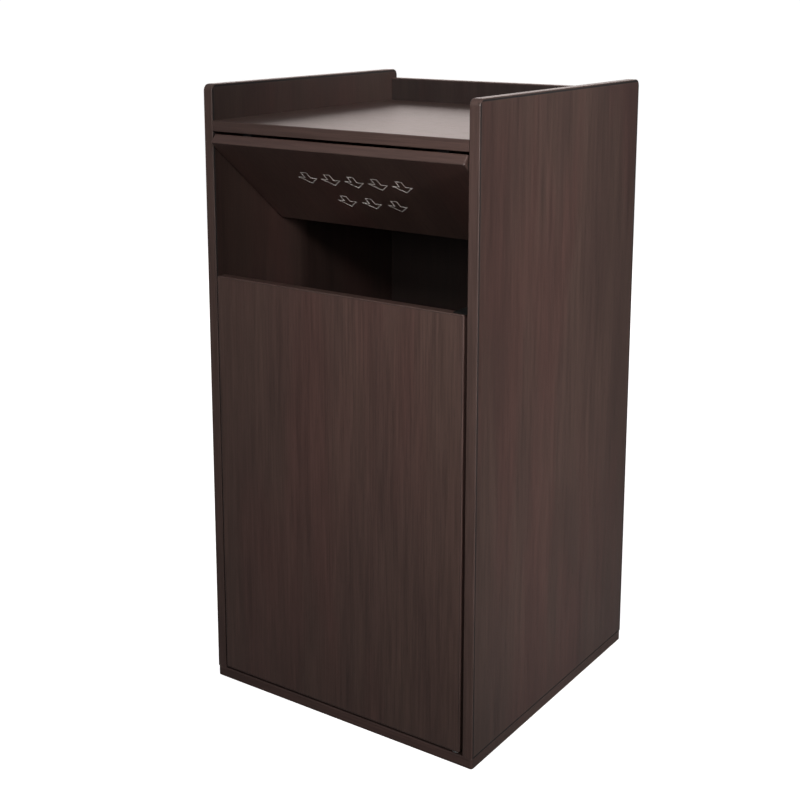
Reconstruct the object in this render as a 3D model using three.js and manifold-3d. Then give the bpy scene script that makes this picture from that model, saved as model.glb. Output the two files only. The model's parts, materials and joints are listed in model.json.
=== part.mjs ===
// A tray-top drop cabinet of edge-banded board, with a pivoting push flap above an inset door.
// Millimetres, +Z up, the front faces -Y. The origin is the centre of the base board's underside.

import * as THREE from 'three';
import { mergeVertices } from 'three/addons/utils/BufferGeometryUtils.js';
import Module from 'manifold-3d';

const wasm = await Module();
wasm.setup();

// ---------------------------------------------------------------- driving dimensions

const INCH = 25.4;
const WIDTH = 22 * INCH;
const DEPTH = 22 * INCH;
const HEIGHT = 43.5 * INCH;
const BOARD = 0.75 * INCH;
const SIDE_RAIL = 62.2;          // how far the side panels stand above the tray
const BACK_DROP = 17;            // how far the back panel's top is below the side panels' tops
const MOUTH_HEIGHT = 254.4;      // between the tray's underside and the door's top edge

const BAND = 2;                  // thickness of the edge banding
const BAND_ROUND = 1.7;          // rounding of the banding's outer edges
const TOP_CORNER = 12;           // outer radius of the side panels' top corners
const BASE_CORNER = 5;           // outer radius of the base board's corners
const LEAF_CORNER = 3;           // outer radius of the door's and the flap's corners
const CORE_RELIEF = 0.7;         // a core's corner is this much rounder than its banding's inside

const DOOR_LEFT_GAP = 2;
const DOOR_RIGHT_GAP = 6;
const DOOR_BOTTOM_GAP = 3.15;
const DOOR_AXIS_INSET = 12;      // from the door's right edge to its pivot axis

const FLAP_OPEN = 50.5;          // degrees from vertical, bottom edge pushed inward
const FLAP_LENGTH = 246.5;
const FLAP_ABOVE_PIVOT = 16.5;
const PIVOT_BELOW_TRAY = 21.5;
const FLAP_SIDE_GAP = 2.6;

const FIT_GAP = 0.3;             // between a fastener or bushing and the hole that takes it
const RUNNING_GAP = 0.05;        // radial clearance between a pivot pin and its bushing
const ROUND_STEPS = 32;          // facets round a pin, bushing or hole
const SCREW_STEPS = 16;          // facets round a screw

// ---------------------------------------------------------------- places worked out from them

const SIDE_X = WIDTH / 2;
const INNER_X = SIDE_X - BOARD;
const FRONT_Y = -DEPTH / 2;
const BACK_Y = DEPTH / 2;
const LEAF_BACK_Y = FRONT_Y + BOARD;
const LEAF_MID_Y = FRONT_Y + BOARD / 2;
const TRAY_TOP_Z = HEIGHT - SIDE_RAIL;
const TRAY_UNDER_Z = TRAY_TOP_Z - BOARD;
const DOOR_TOP_Z = TRAY_UNDER_Z - MOUTH_HEIGHT;
const DOOR_BOTTOM_Z = BOARD + DOOR_BOTTOM_GAP;
const DOOR_LEFT_X = -INNER_X + DOOR_LEFT_GAP;
const DOOR_RIGHT_X = INNER_X - DOOR_RIGHT_GAP;
const DOOR_AXIS_X = DOOR_RIGHT_X - DOOR_AXIS_INSET;
const FLAP_PIVOT_Z = TRAY_UNDER_Z - PIVOT_BELOW_TRAY;
const FLAP_HALF_WIDTH = INNER_X - FLAP_SIDE_GAP;

// ---------------------------------------------------------------- finishes

const FINISHES = {
  board: { color: 0x47392f, roughness: 0.42, metalness: 0 },
  banding: { color: 0x4e4038, roughness: 0.38, metalness: 0 },
  flapBoard: { color: 0x3b2723, roughness: 0.42, metalness: 0 },
  steel: { color: 0xa9abad, roughness: 0.35, metalness: 1 },
  darkSteel: { color: 0x1d1b1a, roughness: 0.5, metalness: 0.6 },
  darkPlastic: { color: 0x2b2826, roughness: 0.5, metalness: 0 },
  magnet: { color: 0x55565a, roughness: 0.4, metalness: 0.8 },
  rubber: { color: 0x141414, roughness: 0.85, metalness: 0 },
  bin: { color: 0x131314, roughness: 0.45, metalness: 0 },
};

const cabinet = new THREE.Group();

function add(name, geometry, finish, parent = cabinet) {
  const mesh = new THREE.Mesh(geometry, new THREE.MeshStandardMaterial(FINISHES[finish]));
  mesh.name = name;
  parent.add(mesh);
  return mesh;
}

// ---------------------------------------------------------------- joining and cutting

function toSolid(geometry) {
  const bare = geometry.clone();
  bare.deleteAttribute('normal');
  bare.deleteAttribute('uv');
  const merged = mergeVertices(bare, 1e-4);
  const corners = merged.index.array;
  const kept = [];
  for (let i = 0; i < corners.length; i += 3) {
    const [a, b, c] = corners.subarray(i, i + 3);
    if (a !== b && b !== c && c !== a) kept.push(a, b, c);
  }
  return new wasm.Manifold(new wasm.Mesh({
    numProp: 3,
    vertProperties: new Float32Array(merged.attributes.position.array),
    triVerts: new Uint32Array(kept),
  }));
}

function toGeometry(solid) {
  const mesh = solid.getMesh();
  const geometry = new THREE.BufferGeometry();
  geometry.setAttribute('position', new THREE.BufferAttribute(mesh.vertProperties, 3));
  geometry.setIndex(new THREE.BufferAttribute(mesh.triVerts, 1));
  geometry.computeVertexNormals();
  return geometry;
}

function cut(geometry, tools) {
  let solid = toSolid(geometry);
  for (const tool of tools) solid = solid.subtract(toSolid(tool));
  return toGeometry(solid);
}

function join(first, second) {
  return toGeometry(toSolid(first).add(toSolid(second)));
}

// ---------------------------------------------------------------- simple shapes

const X = new THREE.Vector3(1, 0, 0);
const Y = new THREE.Vector3(0, 1, 0);
const Z = new THREE.Vector3(0, 0, 1);

// A box between two opposite corners.
function block(low, high) {
  const size = high.map((value, i) => value - low[i]);
  const middle = high.map((value, i) => (value + low[i]) / 2);
  return new THREE.BoxGeometry(...size).translate(...middle);
}

// A turned solid: its profile is [radius, height] pairs, its height runs along direction from point.
function turned(profile, point, direction, steps = ROUND_STEPS) {
  const points = profile.map(([radius, height]) => new THREE.Vector2(radius, height));
  const place = new THREE.Matrix4().makeRotationFromQuaternion(
    new THREE.Quaternion().setFromUnitVectors(Y, direction));
  place.setPosition(...point);
  return new THREE.LatheGeometry(points, steps).applyMatrix4(place);
}

// A drilled hole's tool, from a face into the material along direction.
function drill(radius, point, direction, depth) {
  const mouth = 1;
  const profile = [[0, -mouth], [radius, -mouth], [radius, depth], [0, depth]];
  return turned(profile, point, direction, SCREW_STEPS);
}

// ---------------------------------------------------------------- boards and edge banding

// The local axes of a board: its outline lies in the first two, its thickness along the third.
const FLAT = new THREE.Matrix4().makeBasis(X, Y, Z);
const UPRIGHT_SIDE = new THREE.Matrix4().makeBasis(Y, Z, X);
const UPRIGHT_FRONT = new THREE.Matrix4().makeBasis(X, Z, Y.clone().negate());

function placed(geometry, axes, point) {
  return geometry.applyMatrix4(axes).translate(...point);
}

// One rounded corner of an outline, grown outward by offset.
function cornerArc(x, y, radius, offset, startQuarter, steps = 6) {
  const points = [];
  for (let i = 0; i <= steps; i += 1) {
    const angle = (startQuarter + i / steps) * Math.PI / 2;
    const reach = radius + offset;
    points.push(new THREE.Vector2(x + reach * Math.cos(angle), y + reach * Math.sin(angle)));
  }
  return points;
}

// A rounded rectangle, anticlockwise. All four corners share one radius.
function roundedRectangle(left, right, bottom, top, radius, offset = 0) {
  return [
    ...cornerArc(right - radius, bottom + radius, radius, offset, 3),
    ...cornerArc(right - radius, top - radius, radius, offset, 0),
    ...cornerArc(left + radius, top - radius, radius, offset, 1),
    ...cornerArc(left + radius, bottom + radius, radius, offset, 2),
  ];
}

// A strip up the right edge, over the top and down the left edge, with two rounded corners.
function archStrip(left, right, bottom, top, radius, offset = 0) {
  return [
    new THREE.Vector2(right + offset, bottom),
    ...cornerArc(right - radius, top - radius, radius, offset, 0),
    ...cornerArc(left + radius, top - radius, radius, offset, 1),
    new THREE.Vector2(left - offset, bottom),
  ];
}

function slab(outline, thickness) {
  return new THREE.ExtrudeGeometry(new THREE.Shape(outline), { depth: thickness, bevelEnabled: false });
}

// The banding's section: [outward, across] pairs, with both outer edges rounded.
function bandSection() {
  const steps = 3;
  const section = [[0, 0]];
  for (const [across, turn] of [[BAND_ROUND, -1], [BOARD - BAND_ROUND, 0]]) {
    for (let i = 0; i <= steps; i += 1) {
      const angle = (turn + i / steps) * Math.PI / 2;
      section.push([BAND - BAND_ROUND + BAND_ROUND * Math.cos(angle), across + BAND_ROUND * Math.sin(angle)]);
    }
  }
  section.push([0, BOARD]);
  return section;
}

// Banding along a path that is given at any outward offset. A closed path makes a ring.
function banding(pathAt, closed) {
  const section = bandSection();
  const rows = section.map(([outward, across]) => pathAt(outward).map((p) => [p.x, p.y, across]));
  const stations = rows[0].length;
  const positions = [];
  for (let i = 0; i < stations; i += 1) rows.forEach((row) => positions.push(...row[i]));
  const faces = [];
  const spans = closed ? stations : stations - 1;
  const count = section.length;
  for (let i = 0; i < spans; i += 1) {
    const here = i * count;
    const next = ((i + 1) % stations) * count;
    for (let j = 0; j < count; j += 1) {
      const k = (j + 1) % count;
      faces.push(here + j, next + j, next + k, here + j, next + k, here + k);
    }
  }
  if (!closed) {
    const contour = section.map(([outward, across]) => new THREE.Vector2(outward, across));
    const last = (stations - 1) * count;
    for (const [a, b, c] of THREE.ShapeUtils.triangulateShape(contour, [])) {
      faces.push(a, b, c, last + a, last + c, last + b);
    }
  }
  const geometry = new THREE.BufferGeometry();
  geometry.setAttribute('position', new THREE.Float32BufferAttribute(positions, 3));
  geometry.setIndex(faces);
  geometry.computeVertexNormals();
  return geometry;
}

// A straight banded edge of the given length, outward along -Y of its own outline plane.
function straightBanding(from, to, edge) {
  const side = Math.sign(to - from);
  return banding((offset) => [
    new THREE.Vector2(from, edge - side * offset),
    new THREE.Vector2(to, edge - side * offset),
  ], false);
}

// A leaf banded all round: its core and its ring of banding, in the front plane.
function bandedLeaf(left, right, bottom, top, backY) {
  const inner = [left + BAND, right - BAND, bottom + BAND, top - BAND];
  const innerRadius = LEAF_CORNER - BAND;
  const core = slab(roundedRectangle(...inner, innerRadius + CORE_RELIEF), BOARD);
  const ring = banding((offset) => roundedRectangle(...inner, innerRadius, offset), true);
  return [core, ring].map((geometry) => placed(geometry, UPRIGHT_FRONT, [0, backY, 0]));
}

// ---------------------------------------------------------------- fasteners

const SCREW = { headRadius: 3, headHeight: 1.2, shankRadius: 1.5, shankLength: 12 };
const CASE_SCREW = { headRadius: 5, headHeight: 3, shankRadius: 2.5, shankLength: 46 };

function crossRecess(headRadius, headHeight) {
  const reach = headRadius * 0.55;
  const half = headRadius * 0.11;
  const floor = headHeight * 0.35;
  return [
    block([-reach, floor, -half], [reach, headHeight + 1, half]),
    block([-half, floor, -reach], [half, headHeight + 1, reach]),
  ];
}

// A screw standing along +Y, with the underside of its head at the origin.
function screwGeometry({ headRadius, headHeight, shankRadius, shankLength }) {
  const edge = headHeight * 0.35;
  const point = shankRadius * 1.6;
  const profile = [
    [0, -shankLength], [shankRadius, point - shankLength], [shankRadius, 0], [headRadius, 0],
    [headRadius, headHeight - edge], [headRadius - edge, headHeight], [0, headHeight],
  ];
  return cut(turned(profile, [0, 0, 0], Y, SCREW_STEPS), crossRecess(headRadius, headHeight));
}

const screwShape = screwGeometry(SCREW);
const caseScrewShape = screwGeometry(CASE_SCREW);

function addScrew(name, shape, seat, headDirection) {
  const screw = add(name, shape.clone(), 'steel');
  screw.position.set(...seat);
  screw.quaternion.setFromUnitVectors(Y, headDirection);
  return screw;
}

function screwHole(seat, headDirection, screw = SCREW) {
  const inward = headDirection.clone().negate();
  return drill(screw.shankRadius + FIT_GAP, seat, inward, screw.shankLength + 1);
}

// ---------------------------------------------------------------- base board

const CASE_SCREW_Y = 200;
const CASE_SCREW_SINK = 4;       // depth of the counterbore that hides each case screw's head
const caseScrewSeats = [];
for (const side of [-1, 1]) {
  for (const end of [-1, 1]) {
    caseScrewSeats.push([side * (SIDE_X - BOARD / 2), end * CASE_SCREW_Y, CASE_SCREW_SINK]);
  }
}

const LOWER_PIN_DEPTH = 11.5;
const PIN_RELIEF = 0.5;          // air below the lower pin in its hole
const lowerPinPlace = [DOOR_AXIS_X, LEAF_MID_Y, BOARD];
const DOOR_PIN_RADIUS = 3;
const FLAP_PIN_RADIUS = 4;

const baseInner = [-SIDE_X + BAND, SIDE_X - BAND, FRONT_Y + BAND, BACK_Y - BAND];
const baseInnerRadius = BASE_CORNER - BAND;
const baseHoles = [drill(DOOR_PIN_RADIUS + FIT_GAP, lowerPinPlace, Z.clone().negate(), LOWER_PIN_DEPTH)];
for (const [x, y, sink] of caseScrewSeats) {
  baseHoles.push(drill(CASE_SCREW.headRadius + FIT_GAP, [x, y, 0], Z, sink));
  baseHoles.push(drill(CASE_SCREW.shankRadius + FIT_GAP, [x, y, 0], Z, BOARD + 1));
}
const baseCore = slab(roundedRectangle(...baseInner, baseInnerRadius + CORE_RELIEF), BOARD);
add('base_board', cut(baseCore, baseHoles), 'board');
add('base_edge_band',
  banding((offset) => roundedRectangle(...baseInner, baseInnerRadius, offset), true), 'banding');
caseScrewSeats.forEach((seat, i) => {
  addScrew(`case_screw_${i + 1}`, caseScrewShape, seat, Z.clone().negate());
});

// ---------------------------------------------------------------- side panels and flap bushings

const BUSHING_DEPTH = 12;
const flapBushing = { bore: FLAP_PIN_RADIUS + RUNNING_GAP, sleeve: 6, flange: 8, flangeThick: 1.2 };

// Door bracket screws on the right panel and catch screws on the left one, as seats and head directions.
const BRACKET_SHEET = 1.2;
const BRACKET_LEG_Y = [-252, -222];
const BRACKET_DROP = 30;
const bracketTabZ = DOOR_TOP_Z + 0.8;
const bracketScrewSeats = [8, 22].map((drop) => [
  INNER_X - BRACKET_SHEET,
  (BRACKET_LEG_Y[0] + BRACKET_LEG_Y[1]) / 2,
  bracketTabZ - drop,
]);

const CATCH_Z = 703;
const CATCH_EAR = 3;
const catchScrewSeats = [-28, 28].map((rise) => [-INNER_X + CATCH_EAR, -244, CATCH_Z + rise]);

const sideInner = [FRONT_Y + BAND, BACK_Y - BAND, BOARD, HEIGHT - BAND];
const sideInnerRadius = TOP_CORNER - BAND;

function sideCore() {
  const [front, back, bottom, top] = sideInner;
  const outline = archStrip(front, back, bottom, top, sideInnerRadius + CORE_RELIEF);
  return slab(outline, BOARD);
}

for (const [name, side] of [['left', -1], ['right', 1]]) {
  const outward = X.clone().multiplyScalar(side);
  const bushingPlace = [side * INNER_X, LEAF_MID_Y, FLAP_PIVOT_Z];
  const lowX = side < 0 ? -SIDE_X : INNER_X;
  const holes = [drill(flapBushing.sleeve + FIT_GAP, bushingPlace, outward, BUSHING_DEPTH + FIT_GAP)];
  const fastenings = side < 0 ? catchScrewSeats : bracketScrewSeats;
  fastenings.forEach((seat) => holes.push(screwHole(seat, outward.clone().negate())));
  caseScrewSeats.filter((seat) => seat[0] * side > 0).forEach((seat) => {
    holes.push(screwHole(seat, Z.clone().negate(), CASE_SCREW));
  });
  add(`${name}_side_panel`, cut(placed(sideCore(), UPRIGHT_SIDE, [lowX, 0, 0]), holes), 'board');
  const strip = banding((offset) => archStrip(...sideInner, sideInnerRadius, offset), false);
  add(`${name}_side_edge_band`, placed(strip, UPRIGHT_SIDE, [lowX, 0, 0]), 'banding');
  const { bore, sleeve, flange, flangeThick } = flapBushing;
  const profile = [
    [bore, -flangeThick], [flange, -flangeThick], [flange, 0], [sleeve, 0],
    [sleeve, BUSHING_DEPTH], [bore, BUSHING_DEPTH], [bore, -flangeThick],
  ];
  add(`flap_bushing_${name}`, turned(profile, bushingPlace, outward), 'darkPlastic');
}

// ---------------------------------------------------------------- back panel and tray

const backTop = HEIGHT - BACK_DROP;
add('back_panel',
  block([-INNER_X, BACK_Y - BOARD, BOARD], [INNER_X, BACK_Y, backTop - BAND]), 'board');
add('back_top_edge_band',
  placed(straightBanding(INNER_X, -INNER_X, backTop - BAND), UPRIGHT_FRONT, [0, BACK_Y, 0]), 'banding');

add('tray_top',
  block([-INNER_X, FRONT_Y + BAND, TRAY_UNDER_Z], [INNER_X, BACK_Y - BOARD, TRAY_TOP_Z]), 'board');
add('tray_front_edge_band',
  placed(straightBanding(-INNER_X, INNER_X, FRONT_Y + BAND), FLAT, [0, 0, TRAY_UNDER_Z]), 'banding');

// ---------------------------------------------------------------- flap, hung on two pivot pins

const FLAP_PIN_INSERT = 20;      // how far each pin is driven into the flap's edge
const FLAP_COLLAR = { radius: 6.5, height: 0.9 };
const PIN_TIP = 1;               // chamfer on the end of each pivot pin
const ENGRAVE_DEPTH = 0.7;
const ENGRAVE_WIDTH = 1.4;
const ARROW_SIZE = { width: 42, height: 34 };
const ARROW_ROWS = [{ count: 5, pitch: 49, middleZ: -72 }, { count: 3, pitch: 53, middleZ: -139 }];

// An arrow pointing down, its outline anticlockwise about its own middle.
function arrowOutline(width, height) {
  const neck = width * 0.16;
  const shoulder = height * 0.04;
  return [
    [0, -height / 2], [width / 2, shoulder], [neck, shoulder], [neck, height / 2],
    [-neck, height / 2], [-neck, shoulder], [-width / 2, shoulder],
  ].map(([x, y]) => new THREE.Vector2(x, y));
}

// The same outline moved inward by distance, with mitred corners.
function inset(outline, distance) {
  return outline.map((corner, i) => {
    const before = outline[(i + outline.length - 1) % outline.length];
    const after = outline[(i + 1) % outline.length];
    const incoming = corner.clone().sub(before).normalize();
    const outgoing = after.clone().sub(corner).normalize();
    const left = (edge) => new THREE.Vector2(-edge.y, edge.x);
    const bisector = left(incoming).add(left(outgoing)).normalize();
    return corner.clone().addScaledVector(bisector, distance / bisector.dot(left(incoming)));
  });
}

// The engraving's tools: two rows of outlined arrows on the flap's front face.
function arrowEngraving(frontY) {
  const tools = [];
  for (const { count, pitch, middleZ } of ARROW_ROWS) {
    for (let i = 0; i < count; i += 1) {
      const outline = arrowOutline(ARROW_SIZE.width, ARROW_SIZE.height);
      const shape = new THREE.Shape(outline);
      shape.holes.push(new THREE.Path(inset(outline, ENGRAVE_WIDTH)));
      const groove = new THREE.ExtrudeGeometry(shape, { depth: ENGRAVE_DEPTH + 1, bevelEnabled: false });
      const x = (i - (count - 1) / 2) * pitch;
      tools.push(placed(groove, UPRIGHT_FRONT, [x, frontY + ENGRAVE_DEPTH, middleZ]));
    }
  }
  return tools;
}

const flapGroup = new THREE.Group();
flapGroup.position.set(0, LEAF_MID_Y, FLAP_PIVOT_Z);
flapGroup.rotation.x = THREE.MathUtils.degToRad(FLAP_OPEN);
cabinet.add(flapGroup);

const [flapCore, flapRing] = bandedLeaf(
  -FLAP_HALF_WIDTH, FLAP_HALF_WIDTH, FLAP_ABOVE_PIVOT - FLAP_LENGTH, FLAP_ABOVE_PIVOT, BOARD / 2);
const flapPinHoles = [-1, 1].map((side) => drill(
  FLAP_PIN_RADIUS + FIT_GAP, [side * FLAP_HALF_WIDTH, 0, 0],
  X.clone().multiplyScalar(-side), FLAP_PIN_INSERT + FIT_GAP));
add('swing_flap', cut(flapCore, [...flapPinHoles, ...arrowEngraving(-BOARD / 2)]), 'flapBoard', flapGroup);
add('flap_edge_band', cut(flapRing, flapPinHoles), 'banding', flapGroup);

for (const [name, side] of [['left', -1], ['right', 1]]) {
  const reach = FLAP_SIDE_GAP + BUSHING_DEPTH - 1;
  const { radius, height } = FLAP_COLLAR;
  const profile = [
    [0, -FLAP_PIN_INSERT], [FLAP_PIN_RADIUS, -FLAP_PIN_INSERT], [FLAP_PIN_RADIUS, 0],
    [radius, 0], [radius, height], [FLAP_PIN_RADIUS, height],
    [FLAP_PIN_RADIUS, reach - PIN_TIP], [FLAP_PIN_RADIUS - PIN_TIP, reach], [0, reach],
  ];
  const pin = turned(profile, [side * FLAP_HALF_WIDTH, 0, 0], X.clone().multiplyScalar(side));
  add(`flap_pivot_pin_${name}`, pin, 'darkSteel', flapGroup);
}

// Two bumpers under the tray stop the flap's top edge when the flap hangs closed.
const STOP_SIZE = { width: 20, depth: 12, height: 9.45, x: 200 };
for (const [name, side] of [['left', -1], ['right', 1]]) {
  const left = side * STOP_SIZE.x - STOP_SIZE.width / 2;
  const front = LEAF_BACK_Y + FIT_GAP;
  const outline = roundedRectangle(left, left + STOP_SIZE.width, front, front + STOP_SIZE.depth, 3);
  const stop = placed(slab(outline, STOP_SIZE.height), FLAT, [0, 0, TRAY_UNDER_Z - STOP_SIZE.height]);
  add(`flap_stop_${name}`, stop, 'rubber');
}

// ---------------------------------------------------------------- door on its two pivots

const DOOR_BUSHING = { bore: DOOR_PIN_RADIUS + RUNNING_GAP, sleeve: 5, flange: 6.5, depth: 15 };
const LOWER_SHOULDER = 1.5;
const LOWER_FLANGE = DOOR_BOTTOM_GAP - LOWER_SHOULDER - 0.1;
const UPPER_FLANGE = 0.6;
const LOWER_PIN_RISE = 10;       // how far the lower pin enters the door
const UPPER_PIN_DROP = 14;       // how far the upper pin hangs below the bracket's top face

const bottomBore = [DOOR_AXIS_X, LEAF_MID_Y, DOOR_BOTTOM_Z];
const topBore = [DOOR_AXIS_X, LEAF_MID_Y, DOOR_TOP_Z];
const doorBores = [
  drill(DOOR_BUSHING.sleeve + FIT_GAP, bottomBore, Z, DOOR_BUSHING.depth + FIT_GAP),
  drill(DOOR_BUSHING.sleeve + FIT_GAP, topBore, Z.clone().negate(), DOOR_BUSHING.depth + FIT_GAP),
];

const STRIKE = { low: -255, high: -243, half: 29, thick: 1.5, screwRise: 24 };
const strikeScrewSeats = [-1, 1].map((end) => [
  (STRIKE.low + STRIKE.high) / 2, LEAF_BACK_Y + STRIKE.thick, CATCH_Z + end * STRIKE.screwRise,
]);
const strikeScrewHoles = strikeScrewSeats.map((seat) => screwHole(seat, Y));

const [doorCore, doorRing] = bandedLeaf(DOOR_LEFT_X, DOOR_RIGHT_X, DOOR_BOTTOM_Z, DOOR_TOP_Z, LEAF_BACK_Y);
add('front_door', cut(doorCore, [...doorBores, ...strikeScrewHoles]), 'board');
add('door_edge_band', cut(doorRing, doorBores), 'banding');

for (const [name, point, direction, flangeThick] of [
  ['door_bushing_bottom', bottomBore, Z, LOWER_FLANGE],
  ['door_bushing_top', topBore, Z.clone().negate(), UPPER_FLANGE],
]) {
  const { bore, sleeve, flange, depth } = DOOR_BUSHING;
  const profile = [
    [bore, -flangeThick], [flange, -flangeThick], [flange, 0], [sleeve, 0],
    [sleeve, depth], [bore, depth], [bore, -flangeThick],
  ];
  add(name, turned(profile, point, direction), 'darkPlastic');
}

const lowerPinFoot = PIN_RELIEF - LOWER_PIN_DEPTH;
const lowerPinTop = DOOR_BOTTOM_GAP + LOWER_PIN_RISE;
const lowerPin = [
  [0, lowerPinFoot], [DOOR_PIN_RADIUS, lowerPinFoot], [DOOR_PIN_RADIUS, 0],
  [DOOR_BUSHING.flange, 0], [DOOR_BUSHING.flange, LOWER_SHOULDER], [DOOR_PIN_RADIUS, LOWER_SHOULDER],
  [DOOR_PIN_RADIUS, lowerPinTop - PIN_TIP], [DOOR_PIN_RADIUS - PIN_TIP, lowerPinTop], [0, lowerPinTop],
];
add('door_pivot_pin_bottom', turned(lowerPin, lowerPinPlace, Z), 'steel');

// The top pivot: a bent sheet bracket on the right panel, its tab over the door's top edge.
const TAB_REACH = 9;             // how far the tab goes past the door's axis
const tabLow = [DOOR_AXIS_X - TAB_REACH, FRONT_Y + BAND, bracketTabZ];
const tabHigh = [INNER_X, BRACKET_LEG_Y[1], bracketTabZ + BRACKET_SHEET];
const legLow = [INNER_X - BRACKET_SHEET, BRACKET_LEG_Y[0], bracketTabZ - BRACKET_DROP];
const legHigh = [INNER_X, BRACKET_LEG_Y[1], bracketTabZ + BRACKET_SHEET];
const bracketHoles = [
  drill(DOOR_PIN_RADIUS + FIT_GAP, [DOOR_AXIS_X, LEAF_MID_Y, bracketTabZ], Z, 5),
  ...bracketScrewSeats.map((seat) => screwHole(seat, X.clone().negate())),
];
const bracketSheet = join(block(tabLow, tabHigh), block(legLow, legHigh));
add('door_pivot_bracket', cut(bracketSheet, bracketHoles), 'darkSteel');
bracketScrewSeats.forEach((seat, i) => {
  addScrew(`bracket_screw_${i + 1}`, screwShape, seat, X.clone().negate());
});

const PIN_HEAD = { radius: 4.5, height: 0.3 };
const upperPin = [
  [0, -UPPER_PIN_DROP], [DOOR_PIN_RADIUS - PIN_TIP, -UPPER_PIN_DROP],
  [DOOR_PIN_RADIUS, PIN_TIP - UPPER_PIN_DROP], [DOOR_PIN_RADIUS, 0],
  [PIN_HEAD.radius, 0], [PIN_HEAD.radius, PIN_HEAD.height], [0, PIN_HEAD.height],
];
const upperPinPlace = [DOOR_AXIS_X, LEAF_MID_Y, bracketTabZ + BRACKET_SHEET];
add('door_pivot_pin_top', turned(upperPin, upperPinPlace, Z), 'darkSteel');

// ---------------------------------------------------------------- magnetic catch

const CATCH_GAP = 0.1;
const MAGNET = { left: -256, right: -247, proud: 1.4, sunk: 10, half: 15 };
const CATCH_BODY = { right: -244, depth: 22, half: 21 };
const CATCH_EARS = { front: 4, back: 18, half: 35 };

const magnetFrontY = LEAF_BACK_Y + STRIKE.thick + CATCH_GAP;
const catchFrontY = magnetFrontY + MAGNET.proud;
const magnetLow = [MAGNET.left, magnetFrontY, CATCH_Z - MAGNET.half];
const magnetHigh = [MAGNET.right, catchFrontY + MAGNET.sunk, CATCH_Z + MAGNET.half];
const catchBody = block(
  [-INNER_X, catchFrontY, CATCH_Z - CATCH_BODY.half],
  [CATCH_BODY.right, catchFrontY + CATCH_BODY.depth, CATCH_Z + CATCH_BODY.half]);
const catchEars = block(
  [-INNER_X, catchFrontY + CATCH_EARS.front, CATCH_Z - CATCH_EARS.half],
  [-INNER_X + CATCH_EAR, catchFrontY + CATCH_EARS.back, CATCH_Z + CATCH_EARS.half]);
const catchHousing = join(catchBody, catchEars);
const catchHoles = [block(magnetLow, magnetHigh), ...catchScrewSeats.map((seat) => screwHole(seat, X))];
add('catch_housing', cut(catchHousing, catchHoles), 'darkPlastic');
add('catch_magnet', block(magnetLow, magnetHigh), 'magnet');
catchScrewSeats.forEach((seat, i) => addScrew(`catch_screw_${i + 1}`, screwShape, seat, X));

const strikeLow = [STRIKE.low, LEAF_BACK_Y, CATCH_Z - STRIKE.half];
const strikeHigh = [STRIKE.high, LEAF_BACK_Y + STRIKE.thick, CATCH_Z + STRIKE.half];
add('strike_plate', cut(block(strikeLow, strikeHigh), strikeScrewHoles), 'steel');
strikeScrewSeats.forEach((seat, i) => addScrew(`strike_screw_${i + 1}`, screwShape, seat, Y));

// ---------------------------------------------------------------- collection bin

const BIN_HEIGHT = 24 * INCH;
const BIN_WALL = 3;
const BIN_FOOT = 200;            // half width at the bottom, outside
const BIN_TOP = 220;             // half width under the rim, outside
const BIN_RIM = 9 * INCH;        // half width of the rim
const BIN_RIM_DEPTH = 16;

// Each level is [half width, corner radius, height]: up the outside, over the rim, down the inside.
function binGeometry() {
  const rimUnder = BIN_HEIGHT - BIN_RIM_DEPTH;
  const levels = [
    [BIN_FOOT, 24, 0], [BIN_TOP, 28, rimUnder], [BIN_RIM, 36, rimUnder],
    [BIN_RIM, 36, BIN_HEIGHT - 2], [BIN_RIM - 2, 34, BIN_HEIGHT], [BIN_TOP - BIN_WALL + 1, 26, BIN_HEIGHT],
    [BIN_TOP - BIN_WALL, 25, rimUnder], [BIN_FOOT - BIN_WALL, 21, BIN_WALL],
  ];
  const rings = levels.map(([half, radius]) => roundedRectangle(-half, half, -half, half, radius));
  const count = rings[0].length;
  const positions = rings.flatMap((ring, k) => ring.flatMap((p) => [p.x, p.y, levels[k][2]]));
  const faces = [];
  for (let k = 0; k + 1 < levels.length; k += 1) {
    for (let i = 0; i < count; i += 1) {
      const next = (i + 1) % count;
      const [a, b] = [k * count + i, k * count + next];
      const [c, d] = [b + count, a + count];
      faces.push(a, b, c, a, c, d);
    }
  }
  const foot = positions.length / 3;
  positions.push(0, 0, 0, 0, 0, BIN_WALL);
  const innerRing = (levels.length - 1) * count;
  for (let i = 0; i < count; i += 1) {
    const next = (i + 1) % count;
    faces.push(foot, next, i, foot + 1, innerRing + i, innerRing + next);
  }
  const geometry = new THREE.BufferGeometry();
  geometry.setAttribute('position', new THREE.Float32BufferAttribute(positions, 3));
  geometry.setIndex(faces);
  geometry.computeVertexNormals();
  return geometry.translate(0, 0, BOARD);
}

add('collection_bin', binGeometry(), 'bin');

export default cabinet;
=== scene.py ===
import json
import math

import bmesh
import bpy
from mathutils import Matrix, Vector


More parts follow.
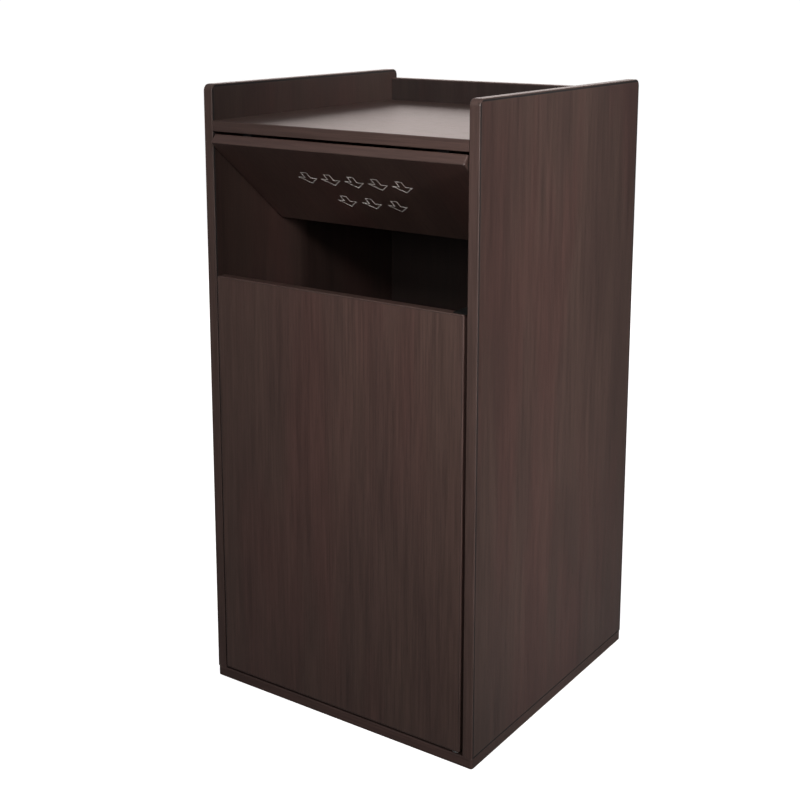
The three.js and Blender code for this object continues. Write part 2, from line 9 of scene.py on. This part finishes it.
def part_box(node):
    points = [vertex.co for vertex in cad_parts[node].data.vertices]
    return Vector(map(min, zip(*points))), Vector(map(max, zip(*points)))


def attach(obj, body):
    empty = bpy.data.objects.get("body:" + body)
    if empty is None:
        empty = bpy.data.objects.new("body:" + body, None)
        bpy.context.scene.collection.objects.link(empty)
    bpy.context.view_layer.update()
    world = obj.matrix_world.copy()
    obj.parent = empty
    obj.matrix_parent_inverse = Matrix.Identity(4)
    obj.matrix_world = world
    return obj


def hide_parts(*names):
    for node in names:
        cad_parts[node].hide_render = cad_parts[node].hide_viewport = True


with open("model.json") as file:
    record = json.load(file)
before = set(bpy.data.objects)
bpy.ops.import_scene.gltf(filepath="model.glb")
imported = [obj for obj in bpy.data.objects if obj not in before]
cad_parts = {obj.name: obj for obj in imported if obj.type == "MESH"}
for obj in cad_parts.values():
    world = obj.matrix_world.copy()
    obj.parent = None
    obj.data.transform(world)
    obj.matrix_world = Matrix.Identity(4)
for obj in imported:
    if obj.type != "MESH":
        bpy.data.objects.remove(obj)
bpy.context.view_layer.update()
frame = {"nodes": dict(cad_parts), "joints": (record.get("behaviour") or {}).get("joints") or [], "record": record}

nodes = frame["nodes"]
joints = {joint["name"]: joint for joint in frame["joints"]}
record = frame["record"]
body_of = {node: body for body, members in record["behaviour"]["bodies"].items() for node in members}
slot_of = {part["node"]: part["material_slot"] for part in record["subparts"]}

MM = 0.001
X_AXIS, Y_AXIS, Z_AXIS = range(3)
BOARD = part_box("back_panel")[1].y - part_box("back_panel")[0].y
FLAP_PIVOT = Vector(joints["flap_swing"]["pos_m"])
FLAP_OPEN = -math.radians(joints["flap_swing"]["range_deg"][0])
UNTURNED = (Vector((0, 0, 0)), 0.0)
FLAP_TURN = (FLAP_PIVOT, -FLAP_OPEN)


# ---------------------------------------------------------------- node graphs

class Graph:
    """A material's node tree, with a short call for each kind of node that the finishes use."""

    def __init__(self, name):
        self.material = bpy.data.materials.new(name)
        self.material.use_nodes = True
        self.tree = self.material.node_tree
        self.tree.nodes.clear()
        output = self.tree.nodes.new("ShaderNodeOutputMaterial")
        self.shader = self.tree.nodes.new("ShaderNodeBsdfPrincipled")
        self.tree.links.new(self.shader.outputs["BSDF"], output.inputs["Surface"])

    def put(self, socket, value):
        """Sets an input to a plain value, or links it to another node's output."""
        if isinstance(value, bpy.types.NodeSocket):
            self.tree.links.new(value, socket)
        else:
            socket.default_value = value

    def node(self, kind, inputs=(), **settings):
        made = self.tree.nodes.new(kind)
        for name, value in settings.items():
            setattr(made, name, value)
        for key, value in dict(inputs).items():
            self.put(made.inputs[key], value)
        return made

    def place(self, turn=UNTURNED):
        """The point being shaded, in metres, in a frame at the pivot turned back by the angle."""
        pivot, angle = turn
        point = self.node("ShaderNodeTexCoord").outputs["Object"]
        moved = self.mapped(point, location=tuple(-pivot))
        return self.mapped(moved, rotation=(angle, 0, 0))

    def mapped(self, vector, scale=(1, 1, 1), location=(0, 0, 0), rotation=(0, 0, 0)):
        inputs = {"Vector": vector, "Scale": scale, "Location": location, "Rotation": rotation}
        return self.node("ShaderNodeMapping", inputs).outputs["Vector"]

    def parts(self, vector):
        return self.node("ShaderNodeSeparateXYZ", {"Vector": vector}).outputs

    def math(self, operation, first, second=0.0, third=0.0):
        return self.node("ShaderNodeMath", {0: first, 1: second, 2: third}, operation=operation).outputs[0]

    def product(self, first, *others):
        for other in others:
            first = self.math("MULTIPLY", first, other)
        return first

    def spread(self, value, start, end, low=0.0, high=1.0):
        """Smoothly maps start..end to low..high."""
        inputs = {"Value": value, "From Min": start, "From Max": end, "To Min": low, "To Max": high}
        return self.node("ShaderNodeMapRange", inputs, interpolation_type="SMOOTHSTEP").outputs["Result"]

    def noise(self, vector, scale, detail=2.0, roughness=0.5, distortion=0.0):
        inputs = {"Vector": vector, "Scale": scale, "Detail": detail,
                  "Roughness": roughness, "Distortion": distortion}
        return self.node("ShaderNodeTexNoise", inputs).outputs["Fac"]

    def mix(self, factor, first, second, blend="MIX"):
        made = self.node("ShaderNodeMix", data_type="RGBA", blend_type=blend)
        self.put(made.inputs["Factor"], factor)
        self.put(made.inputs[6], first)
        self.put(made.inputs[7], second)
        return made.outputs[2]

    def shaded(self, colour, shade):
        """The colour multiplied by a plain number."""
        grey = self.node("ShaderNodeCombineColor", {0: shade, 1: shade, 2: shade}).outputs[0]
        return self.mix(1.0, colour, grey, "MULTIPLY")

    def bump(self, height, distance, strength=1.0):
        inputs = {"Height": height, "Distance": distance, "Strength": strength}
        return self.node("ShaderNodeBump", inputs).outputs["Normal"]

    def finish(self, **inputs):
        """Sets the shader's inputs by name and gives the material back."""
        for name, value in inputs.items():
            self.put(self.shader.inputs[name.replace("_", " ")], value)
        return self.material


def linear(red, green, blue):
    """An sRGB colour, 0 to 255, as the linear colour that shaders take."""
    def channel(value):
        value /= 255
        return value / 12.92 if value <= 0.04045 else ((value + 0.055) / 1.055) ** 2.4
    return (channel(red), channel(green), channel(blue), 1.0)


# ---------------------------------------------------------------- wood-grain laminate and banding

# The dark line round a board's face: part dark joint, part painted shadow. It is widest where a side panel meets
# its thick banding, a painted shadow line on both of that panel's faces.
SEAM_WIDTH = 0.4 * MM
JOINT_SHADOW_WIDTH = 3.0 * MM
SEAM_SHADOW_TONE = linear(14, 10, 9)
SEAM_ROUGHER = 0.5

# The bare board that the engraving cuts down to, and the depths behind the face where it shows.
GROOVE_TONE = linear(204, 199, 194)
GROOVE_ROUGHER = 0.35
GROOVE_START = (0.05 * MM, 0.12 * MM)
GROOVE_END = (2.0 * MM, 2.2 * MM)

# Dark, light and ruddy tones of the print.
ESPRESSO = (linear(56, 40, 36), linear(67, 50, 44), linear(66, 43, 39))
BANDING = (linear(57, 42, 38), linear(67, 51, 46), linear(64, 45, 41))
LAMINATE_ROUGHNESS = 0.40
LAMINATE_RELIEF = 0.05 * MM
BANDING_ROUGHNESS = 0.42
BANDING_RELIEF = 0.03 * MM

# The painted shade on the inner faces: their tone as a share of the outer faces' tone, darkened to stand in for
# the shade inside the cabinet.
INNER_SHADE = 0.55
INNER_BACK_SHADE = 0.28
INNER_SKIN = (0.2 * MM, 0.5 * MM)

# Each layer's noise: features per metre, their shortness along the grain, detail and distortion.
BANDS = (16.0, 0.12, 2.0, 0.3)
TINT = (9.0, 0.20, 2.0, 0.2)
STREAKS = (120.0, 0.035, 3.0, 0.2)
FIBRES = (420.0, 0.025, 3.0, 0.0)
PORES = (1200.0, 0.035, 1.0, 0.0)


class Grain:
    """Wood grain printed along one axis: each part is noise from 0 to 1."""

    def __init__(self, graph, place, along, seed):
        self.graph = graph
        self.place = place
        self.along = along
        self.shift = (1.7 * seed, 2.3 * seed, 0.9 * seed)
        self.bands = self.stretched(*BANDS)
        self.tint = self.stretched(*TINT)
        self.streaks = self.stretched(*STREAKS)
        self.fibres = self.stretched(*FIBRES)
        self.pores = graph.spread(self.stretched(*PORES), 0.58, 0.72)

    def stretched(self, scale, squeeze, detail, distortion):
        """Noise with features 1 / scale wide, and 1 / squeeze times as long along the grain."""
        axes = [1.0, 1.0, 1.0]
        axes[self.along] = squeeze
        place = self.graph.mapped(self.place, scale=axes, location=self.shift)
        return self.graph.noise(place, scale, detail, 0.5, distortion)

    def colour(self, tones):
        graph = self.graph
        dark, light, ruddy = tones
        base = graph.mix(graph.spread(self.bands, 0.30, 0.70, 0.22, 0.78), dark, light)
        base = graph.mix(graph.spread(self.tint, 0.42, 0.66, 0.0, 0.6), base, ruddy)
        streak = graph.spread(self.streaks, 0.30, 0.70, 0.90, 1.10)
        fibre = graph.spread(self.fibres, 0.30, 0.70, 0.83, 1.15)
        pore = graph.math("MULTIPLY_ADD", self.pores, -0.18, 1.0)
        return graph.shaded(base, graph.product(streak, fibre, pore))

    def roughness(self, base):
        graph = self.graph
        rough = graph.math("MULTIPLY_ADD", self.fibres, 0.10, base - 0.05)
        return graph.math("MULTIPLY_ADD", self.pores, 0.10, rough)

    def height(self):
        graph = self.graph
        return graph.math("MULTIPLY_ADD", self.pores, -1.0, graph.math("MULTIPLY", self.fibres, 0.5))


def local_box(node, turn):
    """A CAD node's lowest and highest corners, in a frame at the pivot turned back by the angle."""
    pivot, angle = turn
    back = Matrix.Rotation(angle, 3, "X")
    points = [back @ (vertex.co - pivot) for vertex in nodes[node].data.vertices]
    lows = [min(point[axis] for point in points) for axis in range(3)]
    highs = [max(point[axis] for point in points) for axis in range(3)]
    return lows, highs


def outline_seam(graph, place, node, axes, turn, width):
    """1 along a board core's outline, where its face meets the banding or another board, else 0: the mask of the
    dark line, part joint and part painted shadow.
    """
    coords = graph.parts(place)
    lows, highs = local_box(node, turn)
    gaps = []
    for axis in axes:
        gaps.append(graph.math("SUBTRACT", coords[axis], lows[axis]))
        gaps.append(graph.math("SUBTRACT", highs[axis], coords[axis]))
    nearest = gaps[0]
    for gap in gaps[1:]:
        nearest = graph.math("MINIMUM", nearest, gap)
    return graph.spread(nearest, width * 0.7, width * 1.1, 1.0, 0.0)


def inner_face(graph, place, node, axis, side):
    """1 on the board's face at the low (-1) or high (1) end of the axis, else 0: the mask of the painted inner
    shade.
    """
    coordinate = graph.parts(place)[axis]
    lows, highs = local_box(node, UNTURNED)
    face = lows[axis] if side < 0 else highs[axis]
    distance = graph.math("ABSOLUTE", graph.math("SUBTRACT", coordinate, face))
    return graph.spread(distance, *INNER_SKIN, 1.0, 0.0)


def engraved_groove(graph, place):
    """1 inside the engraving of a board centred on its pivot's plane, else 0."""
    depth = graph.math("ADD", graph.parts(place)[Y_AXIS], BOARD / 2)
    below_face = graph.spread(depth, *GROOVE_START)
    above_back = graph.spread(depth, *GROOVE_END, 1.0, 0.0)
    return graph.product(below_face, above_back)


def laminate(node, along, seed, face_axes, turn=UNTURNED, inner=None, engraved=False,
             seam_width=SEAM_WIDTH):
    """Printed satin laminate, with a dark line round its face that is part dark joint and part painted shadow, and
    painted shade on an inner face (axis, side, tone).
    """
    graph = Graph(node + "_laminate")
    place = graph.place(turn)
    grain = Grain(graph, place, along, seed)
    colour = grain.colour(ESPRESSO)
    rough = grain.roughness(LAMINATE_ROUGHNESS)
    if inner is not None:
        axis, side, tone = inner
        # Painted shade: the inner face is darkened to a share of the outer tone, standing in for the shade inside
        # the cabinet.
        inside = inner_face(graph, place, node, axis, side)
        colour = graph.shaded(colour, graph.math("MULTIPLY_ADD", inside, tone - 1, 1.0))
    # The dark line round the face: part dark joint, part painted shadow.
    seam = outline_seam(graph, place, node, face_axes, turn, seam_width)
    colour = graph.mix(seam, colour, SEAM_SHADOW_TONE)
    rough = graph.math("MULTIPLY_ADD", seam, SEAM_ROUGHER, rough)
    if engraved:
        groove = engraved_groove(graph, place)
        colour = graph.mix(groove, colour, GROOVE_TONE)
        rough = graph.math("MULTIPLY_ADD", groove, GROOVE_ROUGHER, rough)
    normal = graph.bump(grain.height(), LAMINATE_RELIEF, 0.5)
    return graph.finish(Base_Color=colour, Roughness=rough, Normal=normal)


def edge_banding(name, along, seed, turn=UNTURNED):
    """Thick plastic edge banding in the board's colour, with a fainter grain along the strip."""
    graph = Graph(name + "_plastic")
    grain = Grain(graph, graph.place(turn), along, seed)
    normal = graph.bump(grain.height(), BANDING_RELIEF, 0.4)
    return graph.finish(Base_Color=grain.colour(BANDING), Roughness=grain.roughness(BANDING_ROUGHNESS),
                        Normal=normal, Specular_IOR_Level=0.4)


# ---------------------------------------------------------------- metal, plastic and rubber

def metal(name, tone, base_roughness, along, wear_tone, metallic=1.0):
    """Worked metal: fine lines along one axis, cloudy roughness and a few duller patches."""
    graph = Graph(name)
    place = graph.place()
    axes = [1.0, 1.0, 1.0]
    axes[along] = 0.04
    lines = graph.noise(graph.mapped(place, scale=axes), 5200.0, 3.0, 0.6)
    clouds = graph.noise(place, 260.0, 3.0, 0.55)
    patches = graph.spread(clouds, 0.52, 0.68, 0.0, 0.55)
    colour = graph.mix(patches, tone, wear_tone)
    colour = graph.shaded(colour, graph.spread(lines, 0.3, 0.7, 0.86, 1.08))
    rough = graph.math("MULTIPLY_ADD", clouds, 0.22, base_roughness - 0.10)
    rough = graph.math("MULTIPLY_ADD", lines, 0.08, rough)
    normal = graph.bump(lines, 0.01 * MM, 0.5)
    return graph.finish(Base_Color=colour, Roughness=rough, Metallic=metallic, Normal=normal)


def moulded(name, tone, base_roughness, texture, depth, scuffs, shine=0.5):
    """Moulded plastic, rubber or powder coat: an eroded texture, faint flow marks and pale scuffs."""
    graph = Graph(name)
    place = graph.place()
    pits = graph.noise(place, texture, 2.0, 0.6)
    flow = graph.noise(graph.mapped(place, scale=(1, 1, 0.3)), 22.0, 3.0, 0.5, 0.6)
    scratch_place = graph.mapped(place, scale=(1, 0.05, 1), rotation=(0.4, 0.2, 0.9))
    scratches = graph.spread(graph.noise(scratch_place, 900.0, 1.0, 0.5), 0.66, 0.74)
    marks = graph.product(scratches, graph.spread(flow, 0.45, 0.62), scuffs)
    pale = tuple(min(1.0, channel * 1.6 + 0.05) for channel in tone[:3]) + (1.0,)
    colour = graph.shaded(tone, graph.spread(flow, 0.3, 0.7, 0.86, 1.12))
    colour = graph.shaded(colour, graph.spread(pits, 0.3, 0.7, 0.94, 1.05))
    colour = graph.mix(marks, colour, pale)
    rough = graph.math("MULTIPLY_ADD", flow, 0.14, base_roughness - 0.07)
    rough = graph.math("MULTIPLY_ADD", marks, 0.2, rough)
    normal = graph.bump(pits, depth, 0.6)
    return graph.finish(Base_Color=colour, Roughness=rough, Normal=normal, Specular_IOR_Level=shine)


def hardware_finishes():
    """One material for each slot of the record that isn't board or banding."""
    return {
        "steel": metal("zinc_plated_steel", linear(178, 180, 184), 0.34, Z_AXIS,
                       wear_tone=linear(158, 152, 138)),
        "dark_steel": moulded("black_powder_coat", linear(19, 18, 17), 0.68,
                              texture=2100.0, depth=0.03 * MM, scuffs=0.1, shine=0.12),
        "magnet": metal("ground_magnet", linear(88, 88, 92), 0.42, X_AXIS,
                        wear_tone=linear(62, 60, 60), metallic=0.7),
        "dark_plastic": moulded("dark_moulded_plastic", linear(34, 31, 29), 0.48,
                                texture=2600.0, depth=0.02 * MM, scuffs=0.15),
        "rubber": moulded("black_rubber", linear(22, 22, 23), 0.8,
                          texture=1800.0, depth=0.04 * MM, scuffs=0.2),
        "bin_plastic": moulded("bin_polyethylene", linear(27, 27, 29), 0.44,
                               texture=1300.0, depth=0.05 * MM, scuffs=0.35),
    }


# ---------------------------------------------------------------- camera, floor and light

SENSOR_MM = 36
LENS_MM = 60.48
LENS_SHIFT = (-0.0031, -0.1857)
CAMERA_PLACE = (1.3259, -2.0030, 1.2658)
CAMERA_YAW_PITCH_ROLL = (34.558, -11.049, -0.097)

# Grey levels: what a surface throws on the cabinet, and what the camera sees of it.
FLOOR_THROWS, FLOOR_SHOWS, FLOOR_GLOW = 0.32, 0.9, 0.8
SURROUNDINGS_THROW, SURROUNDINGS_SHOW = 0.26, 1.05
FLOOR_REACH = 60


def look(obj, target):
    obj.rotation_euler = (Vector(target) - obj.location).to_track_quat("-Z", "Y").to_euler()


def make_camera():
    """The viewing angle: front right, a little above the tray, with the verticals kept nearly parallel."""
    data = bpy.data.cameras.new("camera")
    data.sensor_width = SENSOR_MM
    data.lens = LENS_MM
    data.shift_x, data.shift_y = LENS_SHIFT
    camera = bpy.data.objects.new("camera", data)
    bpy.context.scene.collection.objects.link(camera)
    yaw, pitch, roll = (math.radians(angle) for angle in CAMERA_YAW_PITCH_ROLL)
    turn = Matrix.Rotation(yaw, 3, "Z") @ Matrix.Rotation(pitch, 3, "X") @ Matrix.Rotation(roll, 3, "Y")
    right, ahead, up = turn.col[0], turn.col[1], turn.col[2]
    rotation = Matrix((right, up, -ahead)).transposed()
    camera.matrix_world = Matrix.Translation(CAMERA_PLACE) @ rotation.to_4x4()
    bpy.context.scene.camera = camera


def make_floor():
    """A plain white floor. It throws back less light than it shows, as a floor far from the walls would."""
    graph = Graph("floor_paint")
    seen = graph.node("ShaderNodeLightPath").outputs["Is Camera Ray"]
    tone = graph.mix(seen, (FLOOR_THROWS,) * 3 + (1,), (FLOOR_SHOWS,) * 3 + (1,))
    graph.finish(Base_Color=tone, Roughness=0.9, Specular_IOR_Level=0.0)
    graph.finish(Emission_Color=(1, 1, 1, 1), Emission_Strength=graph.product(seen, FLOOR_GLOW))
    mesh = bpy.data.meshes.new("floor")
    reach = FLOOR_REACH
    corners = [(-reach, -reach, 0), (reach, -reach, 0), (reach, reach, 0), (-reach, reach, 0)]
    mesh.from_pydata(corners, [], [(0, 1, 2, 3)])
    mesh.materials.append(graph.material)
    floor = bpy.data.objects.new("floor", mesh)
    bpy.context.scene.collection.objects.link(floor)


def make_world():
    """White surroundings that light the object only faintly: the softboxes do the rest."""
    world = bpy.data.worlds.new("studio")
    world.use_nodes = True
    tree = world.node_tree
    paths = tree.nodes.new("ShaderNodeLightPath")
    strength = tree.nodes.new("ShaderNodeMapRange")
    strength.inputs["To Min"].default_value = SURROUNDINGS_THROW
    strength.inputs["To Max"].default_value = SURROUNDINGS_SHOW
    tree.links.new(paths.outputs["Is Camera Ray"], strength.inputs["Value"])
    background = tree.nodes["Background"]
    background.inputs["Color"].default_value = (1, 1, 1, 1)
    tree.links.new(strength.outputs["Result"], background.inputs["Strength"])
    bpy.context.scene.world = world
    bpy.context.scene.view_settings.view_transform = "Standard"


def softbox(name, place, target, size, watts, tint=(1, 1, 1), spread=180):
    """A rectangular area light. A smaller spread, in degrees, throws the light in a narrower cone."""
    data = bpy.data.lights.new(name, "AREA")
    data.shape = "RECTANGLE"
    data.size, data.size_y = size
    data.energy = watts
    data.color = tint
    data.spread = math.radians(spread)
    light = bpy.data.objects.new(name, data)
    bpy.context.scene.collection.objects.link(light)
    light.location = place
    look(light, target)


def make_lights():
    """A tall strip for the side's soft glow, two fills for flap and door, and the backdrop's light."""
    softbox("key_light", place=(3.1, -1.5, 1.5), target=(0.28, -0.02, 0.95), size=(0.35, 1.9),
            watts=4.0, spread=17)
    softbox("fill_light", place=(1.3, -2.8, 2.6), target=(0.28, -0.28, 1.08), size=(0.9, 0.6),
            watts=3.9, spread=30)
    softbox("front_light", place=(0.8, -3.2, 1.7), target=(0.1, -0.28, 0.5), size=(1.2, 0.8),
            watts=2.6, spread=50)
    softbox("backdrop_light", place=(-2.2, 3.4, 2.0), target=(0, 0, 1.0), size=(3.6, 1.6),
            watts=42, tint=(1.0, 0.87, 0.83))


make_camera()
make_floor()
make_world()
make_lights()


# ---------------------------------------------------------------- pieces

BOARD_ROUNDING = 0.2 * MM
THIN_ROUNDING = 0.15 * MM
HARDWARE_ROUNDING = 0.25 * MM
BIN_ROUNDING = 0.6 * MM
WELD_DISTANCE = 0.005 * MM
FLAT_ANGLE = math.radians(0.5)
FLAP_SEED = 7
FIRST_BANDING_SEED = 10


def piece(name, shape, body, material, replaced=()):
    """Makes an object from a bmesh, in the row frame, that rides on a CAD body."""
    mesh = bpy.data.meshes.new(name)
    shape.to_mesh(mesh)
    shape.free()
    mesh.polygons.foreach_set("use_smooth", [True] * len(mesh.polygons))
    mesh.materials.append(material)
    obj = bpy.data.objects.new(name, mesh)
    bpy.context.scene.collection.objects.link(obj)
    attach(obj, body)
    if replaced:
        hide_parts(*replaced)
    return obj


def soften(obj, width, segments=2, sharp_angle=35):
    """Rounds the edges that are sharper than the angle, and shades the rest smoothly."""
    bevel = obj.modifiers.new("edge_rounding", "BEVEL")
    bevel.limit_method = "ANGLE"
    bevel.angle_limit = math.radians(sharp_angle)
    bevel.width = width
    bevel.segments = segments
    bevel.harden_normals = True
    normals = obj.modifiers.new("even_shading", "WEIGHTED_NORMAL")
    normals.keep_sharp = True


def refined(node, material, width):
    """A CAD node's own shape with its facets joined, its edges rounded and a finished material."""
    shape = bmesh.new()
    shape.from_mesh(nodes[node].data)
    bmesh.ops.remove_doubles(shape, verts=shape.verts, dist=WELD_DISTANCE)
    bmesh.ops.dissolve_limit(shape, angle_limit=FLAT_ANGLE, verts=shape.verts, edges=shape.edges)
    obj = piece(node + "_fine", shape, body_of[node], material, [node])
    soften(obj, width)
    return obj


def make_boards():
    """The laminated boards: node, grain axis, axes of its faces, inner face with its painted shade (axis, side,
    tone) and the width of the seam, a dark line that is part joint and part painted shadow.
    """
    for seed, (node, along, face_axes, inner, seam_width) in enumerate([
        # The side panels' wide seam is mostly a painted shadow line where the thick banding meets them, on both
        # faces.
        ("left_side_panel", Z_AXIS, (Y_AXIS, Z_AXIS), (X_AXIS, 1, INNER_SHADE), JOINT_SHADOW_WIDTH),
        ("right_side_panel", Z_AXIS, (Y_AXIS, Z_AXIS), (X_AXIS, -1, INNER_SHADE), JOINT_SHADOW_WIDTH),
        ("back_panel", Z_AXIS, (X_AXIS, Z_AXIS), (Y_AXIS, -1, INNER_BACK_SHADE), SEAM_WIDTH),
        ("front_door", Z_AXIS, (X_AXIS, Z_AXIS), (Y_AXIS, 1, INNER_SHADE), SEAM_WIDTH),
        ("tray_top", X_AXIS, (X_AXIS, Y_AXIS), (Z_AXIS, -1, INNER_SHADE), SEAM_WIDTH),
        ("base_board", X_AXIS, (X_AXIS, Y_AXIS), (Z_AXIS, 1, INNER_SHADE), SEAM_WIDTH),
    ], start=1):
        finish = laminate(node, along, seed, face_axes, inner=inner, seam_width=seam_width)
        refined(node, finish, BOARD_ROUNDING)
    flap = laminate("swing_flap", Z_AXIS, FLAP_SEED, (X_AXIS, Z_AXIS), FLAP_TURN, engraved=True)
    refined("swing_flap", flap, THIN_ROUNDING)


def make_banding():
    """The banding strips: node, the grain's axis and the turn of the piece at rest."""
    for seed, (node, along, turn) in enumerate([
        ("left_side_edge_band", Z_AXIS, UNTURNED),
        ("right_side_edge_band", Z_AXIS, UNTURNED),
        ("back_top_edge_band", X_AXIS, UNTURNED),
        ("tray_front_edge_band", X_AXIS, UNTURNED),
        ("base_edge_band", X_AXIS, UNTURNED),
        ("door_edge_band", Z_AXIS, UNTURNED),
        ("flap_edge_band", X_AXIS, FLAP_TURN),
    ], start=FIRST_BANDING_SEED):
        refined(node, edge_banding(node, along, seed, turn), THIN_ROUNDING)


def make_hardware(finishes):
    """Everything small keeps its CAD shape, with its edges broken as tumbling or moulding leaves them."""
    for node, slot in slot_of.items():
        if slot in finishes and node != "collection_bin":
            refined(node, finishes[slot], HARDWARE_ROUNDING)


# ---------------------------------------------------------------- collection bin, sizes in mm

BIN_LOW, BIN_HIGH = (Vector(corner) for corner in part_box("collection_bin"))
BIN_HEIGHT = (BIN_HIGH.z - BIN_LOW.z) / MM
RIM_REACH = BIN_HIGH.x / MM
RIM_OVERHANG = 8.6
WALL_REACH = RIM_REACH - RIM_OVERHANG
WALL_TAPER = 20
RIM_DEPTH = 16
UNDER_RIM = BIN_HEIGHT - RIM_DEPTH
CORNER_STEPS = 9
GUSSET_PLACES = (-150, -95, 95, 150)
GUSSET_HALF_WIDTH = 1.3
GUSSET_HEIGHT = 24
GRIP_RADIUS = 4.6
GRIP_REACH = 15


def bin_profile():
    """The bin's section in mm, as (half width, corner radius, height).

    It runs up the outside, over the rim and down the inside.
    """
    top = BIN_HEIGHT
    foot = WALL_REACH - WALL_TAPER
    outside = [
        (foot - 30, 12, 4), (foot - 18, 16, 3.2), (foot - 14, 18, 0), (foot - 5, 21, 0),
        (foot - 1.2, 23, 1.4), (foot, 24, 5), (foot + 2, 24, 64), (foot + 4, 25, 69), (foot + 4.6, 25, 84),
        (foot + 3, 25, 89), (WALL_REACH - 2.6, 27, UNDER_RIM - 76), (WALL_REACH, 28, UNDER_RIM - 70),
        (WALL_REACH + 0.6, 28, UNDER_RIM - 58), (WALL_REACH - 1, 28, UNDER_RIM - 52),
        (WALL_REACH - 0.6, 28, UNDER_RIM - 4), (WALL_REACH + 1.5, 29, UNDER_RIM),
    ]
    rim = [
        (RIM_REACH - 1.6, 35, UNDER_RIM), (RIM_REACH - 0.3, 36, UNDER_RIM + 1.2), (RIM_REACH, 36, top - 5),
        (RIM_REACH - 1, 35, top - 2), (RIM_REACH - 3.4, 33, top - 0.3), (RIM_REACH - 6.4, 31, top),
        (RIM_REACH - 9, 29, top - 1), (RIM_REACH - 10.8, 27, top - 3.6),
    ]
    inside = [
        (WALL_REACH - 3, 25, UNDER_RIM), (foot - 3, 21, 12), (foot - 5, 20, 6), (foot - 9, 18, 3.6),
        (foot - 16, 14, 3),
    ]
    return outside + rim + inside


def rounded_square(half, radius, height):
    """A square outline with rounded corners, anticlockwise, in the row frame."""
    centre = (half - radius) * MM
    points = []
    for quarter, (side_x, side_y) in enumerate([(1, 1), (-1, 1), (-1, -1), (1, -1)]):
        for step in range(CORNER_STEPS + 1):
            angle = (quarter + step / CORNER_STEPS) * math.pi / 2
            x = side_x * centre + radius * MM * math.cos(angle)
            y = side_y * centre + radius * MM * math.sin(angle)
            points.append(Vector((x, y, BIN_LOW.z + height * MM)))
    return points


def loft(shape, outlines):
    """Walls through a stack of outlines with equal numbers of points, closed at both ends."""
    rings = [[shape.verts.new(point) for point in outline] for outline in outlines]
    for lower, upper in zip(rings, rings[1:]):
        for i, vertex in enumerate(lower):
            after = (i + 1) % len(lower)
            shape.faces.new((vertex, lower[after], upper[after], upper[i]))
    shape.faces.new(list(reversed(rings[0])))
    shape.faces.new(rings[-1])


def wedge(shape, along, across, half, low, high, inner, outer):
    """A thin gusset under the rim: a wall fin that widens from inner at its foot to outer at its top."""
    corners = []
    for side in (-half, half):
        for reach, height in ((inner, low), (inner, high), (outer, high)):
            place = across * reach * MM + along * side * MM
            corners.append(shape.verts.new((place.x, place.y, BIN_LOW.z + height * MM)))
    a, b, c, d, e, f = corners
    for face in ((a, b, c), (f, e, d), (a, d, e, b), (b, e, f, c), (c, f, d, a)):
        shape.faces.new(face)


def rim_gussets(shape):
    """Small fins between wall and rim, four a side."""
    for quarter in range(4):
        turn = Matrix.Rotation(quarter * math.pi / 2, 3, "Z")
        across = turn @ Vector((1, 0, 0))
        along = turn @ Vector((0, 1, 0))
        for step in GUSSET_PLACES:
            fin = bmesh.new()
            wedge(fin, along, across, GUSSET_HALF_WIDTH, UNDER_RIM - GUSSET_HEIGHT, UNDER_RIM + 0.4,
                  WALL_REACH - 1.4, RIM_REACH - 1.8)
            bmesh.ops.translate(fin, verts=fin.verts, vec=along * step * MM)
            spare = bpy.data.meshes.new("gusset")
            fin.to_mesh(spare)
            fin.free()
            shape.from_mesh(spare)
            bpy.data.meshes.remove(spare)


def bin_grip(name, side, material):
    """A moulded lifting loop under the rim. Its route is (out, along, height)."""
    out = WALL_REACH + GRIP_REACH
    route = [
        (WALL_REACH - 2, -64, UNDER_RIM - 9), (out - 4, -64, UNDER_RIM - 10), (out, -60, UNDER_RIM - 20),
        (out + 1, -44, UNDER_RIM - 33), (out + 1, 0, UNDER_RIM - 37), (out + 1, 44, UNDER_RIM - 33),
        (out, 60, UNDER_RIM - 20), (out - 4, 64, UNDER_RIM - 10), (WALL_REACH - 2, 64, UNDER_RIM - 9),
    ]
    data = bpy.data.curves.new(name, "CURVE")
    data.dimensions = "3D"
    data.bevel_depth = GRIP_RADIUS * MM
    data.bevel_resolution = 5
    data.resolution_u = 10
    data.use_fill_caps = True
    spline = data.splines.new("BEZIER")
    spline.bezier_points.add(len(route) - 1)
    for point, (x, y, z) in zip(spline.bezier_points, route):
        point.co = (side * x * MM, y * MM, BIN_LOW.z + z * MM)
        point.handle_left_type = "AUTO"
        point.handle_right_type = "AUTO"
    data.materials.append(material)
    obj = bpy.data.objects.new(name, data)
    bpy.context.scene.collection.objects.link(obj)
    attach(obj, body_of["collection_bin"])


def make_bin(material):
    """The liner, which stands in for its plain CAD node, and its two lifting grips."""
    shape = bmesh.new()
    loft(shape, [rounded_square(*level) for level in bin_profile()])
    rim_gussets(shape)
    liner = piece("bin_shell", shape, body_of["collection_bin"], material,
                  ["collection_bin"])
    soften(liner, BIN_ROUNDING)
    bin_grip("bin_grip_left", -1, material)
    bin_grip("bin_grip_right", 1, material)


make_boards()
make_banding()
finishes = hardware_finishes()
make_hardware(finishes)
make_bin(finishes["bin_plastic"])
